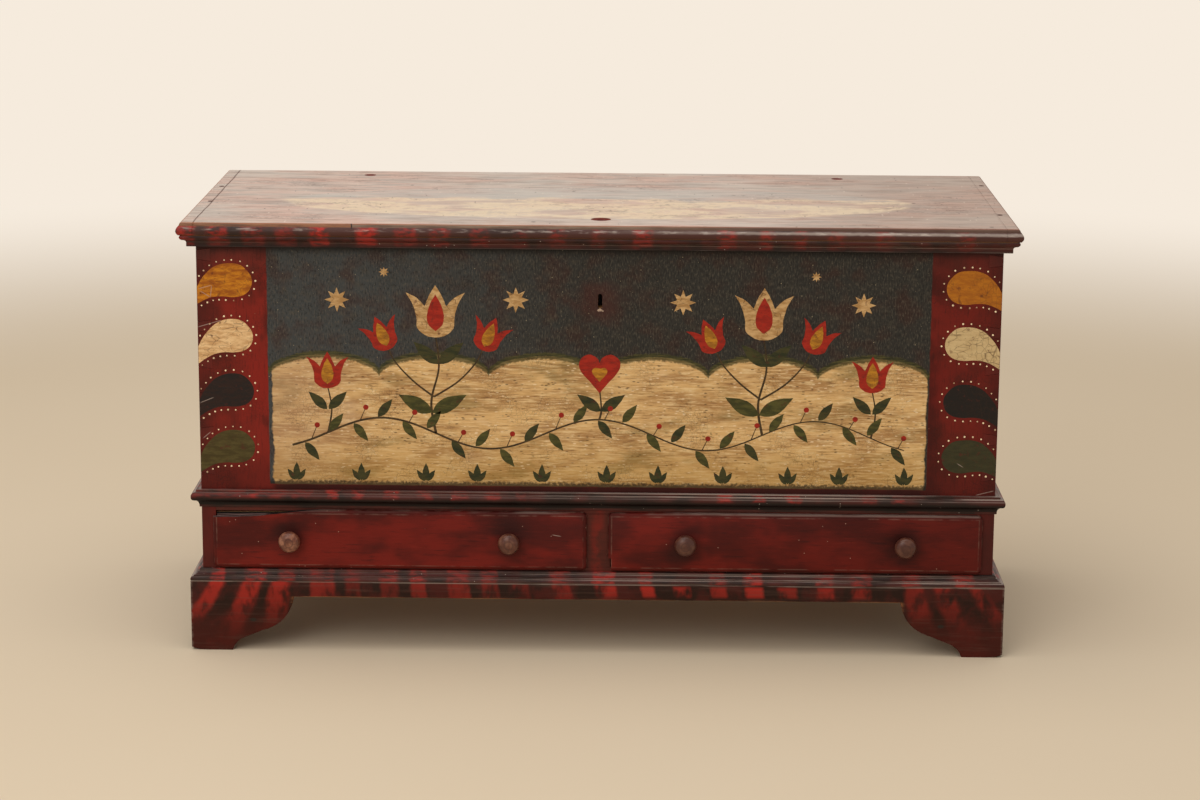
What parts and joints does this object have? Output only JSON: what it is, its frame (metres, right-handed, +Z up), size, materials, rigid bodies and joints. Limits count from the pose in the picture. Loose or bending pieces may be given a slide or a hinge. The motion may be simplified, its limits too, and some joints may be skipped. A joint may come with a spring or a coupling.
{
  "type": "blanket chest",
  "caption": "Painted wooden blanket chest with a hinged moulded lid, lipped drawers with turned knobs below the chest, and a bracket base.",
  "frame": {"origin": "centre of the overall footprint, on the floor", "axes": "+X to the right as seen from the front, +Y to the back, +Z up"},
  "size_m": [1.2938, 0.5734, 0.682],
  "materials": {
    "front_paint": "aged satin paint with a painted design",
    "side_paint": "aged satin paint",
    "back_wood": "bare wood with a thin red wash",
    "rail_paint": "aged satin paint",
    "moulding_paint": "aged satin paint with red dabs, worn at the edges",
    "base_paint": "aged satin paint with diagonal red stripes",
    "lid_paint": "worn satin paint",
    "plug_paint": "worn satin paint",
    "drawer_paint": "aged satin paint, worn at the edges",
    "knob_wood": "worn painted wood",
    "inner_wood": "bare aged wood",
    "iron": "dark forged iron"
  },
  "bodies": {
    "case": {"front_board": "front_paint", "back_board": "back_wood", "side_board_left": "side_paint", "side_board_right": "side_paint", "chest_floor": "inner_wood", "drawer_upper_rail": "rail_paint", "drawer_lower_rail": "rail_paint", "drawer_divider": "rail_paint", "centre_runner": "inner_wood", "side_runner_left": "inner_wood", "side_runner_right": "inner_wood", "waist_moulding_front": "moulding_paint", "waist_moulding_left": "moulding_paint", "waist_moulding_right": "moulding_paint", "base_moulding_front": "moulding_paint", "base_moulding_left": "moulding_paint", "base_moulding_right": "moulding_paint", "plinth_front": "base_paint", "plinth_left": "base_paint", "plinth_right": "base_paint", "rear_foot_bracket_left": "inner_wood", "rear_foot_bracket_right": "inner_wood", "foot_block_front_left": "inner_wood", "foot_block_front_right": "inner_wood", "foot_block_rear_left": "inner_wood", "foot_block_rear_right": "inner_wood", "hinge_case_leaf_left": "iron", "hinge_case_leaf_right": "iron", "hinge_pin_left": "iron", "hinge_pin_right": "iron", "lock_plate": "iron", "lock_case": "iron"},
    "lid": {"lid_board": "lid_paint", "lid_end_left": "lid_paint", "lid_end_right": "lid_paint", "lid_moulding_front": "moulding_paint", "lid_moulding_left": "moulding_paint", "lid_moulding_right": "moulding_paint", "lid_plug_front": "plug_paint", "lid_plug_left": "plug_paint", "lid_plug_right": "plug_paint", "hinge_strap_left": "iron", "hinge_strap_right": "iron", "lock_strike": "iron", "lock_staple": "iron"},
    "drawer_left": {"drawer_left_front": "drawer_paint", "drawer_left_side_left": "inner_wood", "drawer_left_side_right": "inner_wood", "drawer_left_back": "inner_wood", "drawer_left_bottom": "inner_wood", "drawer_left_knob_left": "knob_wood", "drawer_left_knob_right": "knob_wood"},
    "drawer_right": {"drawer_right_front": "drawer_paint", "drawer_right_side_left": "inner_wood", "drawer_right_side_right": "inner_wood", "drawer_right_back": "inner_wood", "drawer_right_bottom": "inner_wood", "drawer_right_knob_left": "knob_wood", "drawer_right_knob_right": "knob_wood"},
    "lock_bolt": {"lock_bolt": "iron"}
  },
  "joints": [
    {"name": "lid_hinge", "type": "hinge", "parent": "case", "child": "lid", "pos_m": [0, 0.27715, 0.6565], "axis": [-1, 0, 0], "range_deg": [0, 100]},
    {"name": "drawer_left_slide", "type": "slide", "parent": "case", "child": "drawer_left", "axis": [0, -1, 0], "range_m": [0, 0.38]},
    {"name": "drawer_right_slide", "type": "slide", "parent": "case", "child": "drawer_right", "axis": [0, -1, 0], "range_m": [0, 0.38]},
    {"name": "lock_bolt_slide", "type": "slide", "parent": "case", "child": "lock_bolt", "axis": [1, 0, 0], "range_m": [0, 0.009]}
  ]
}
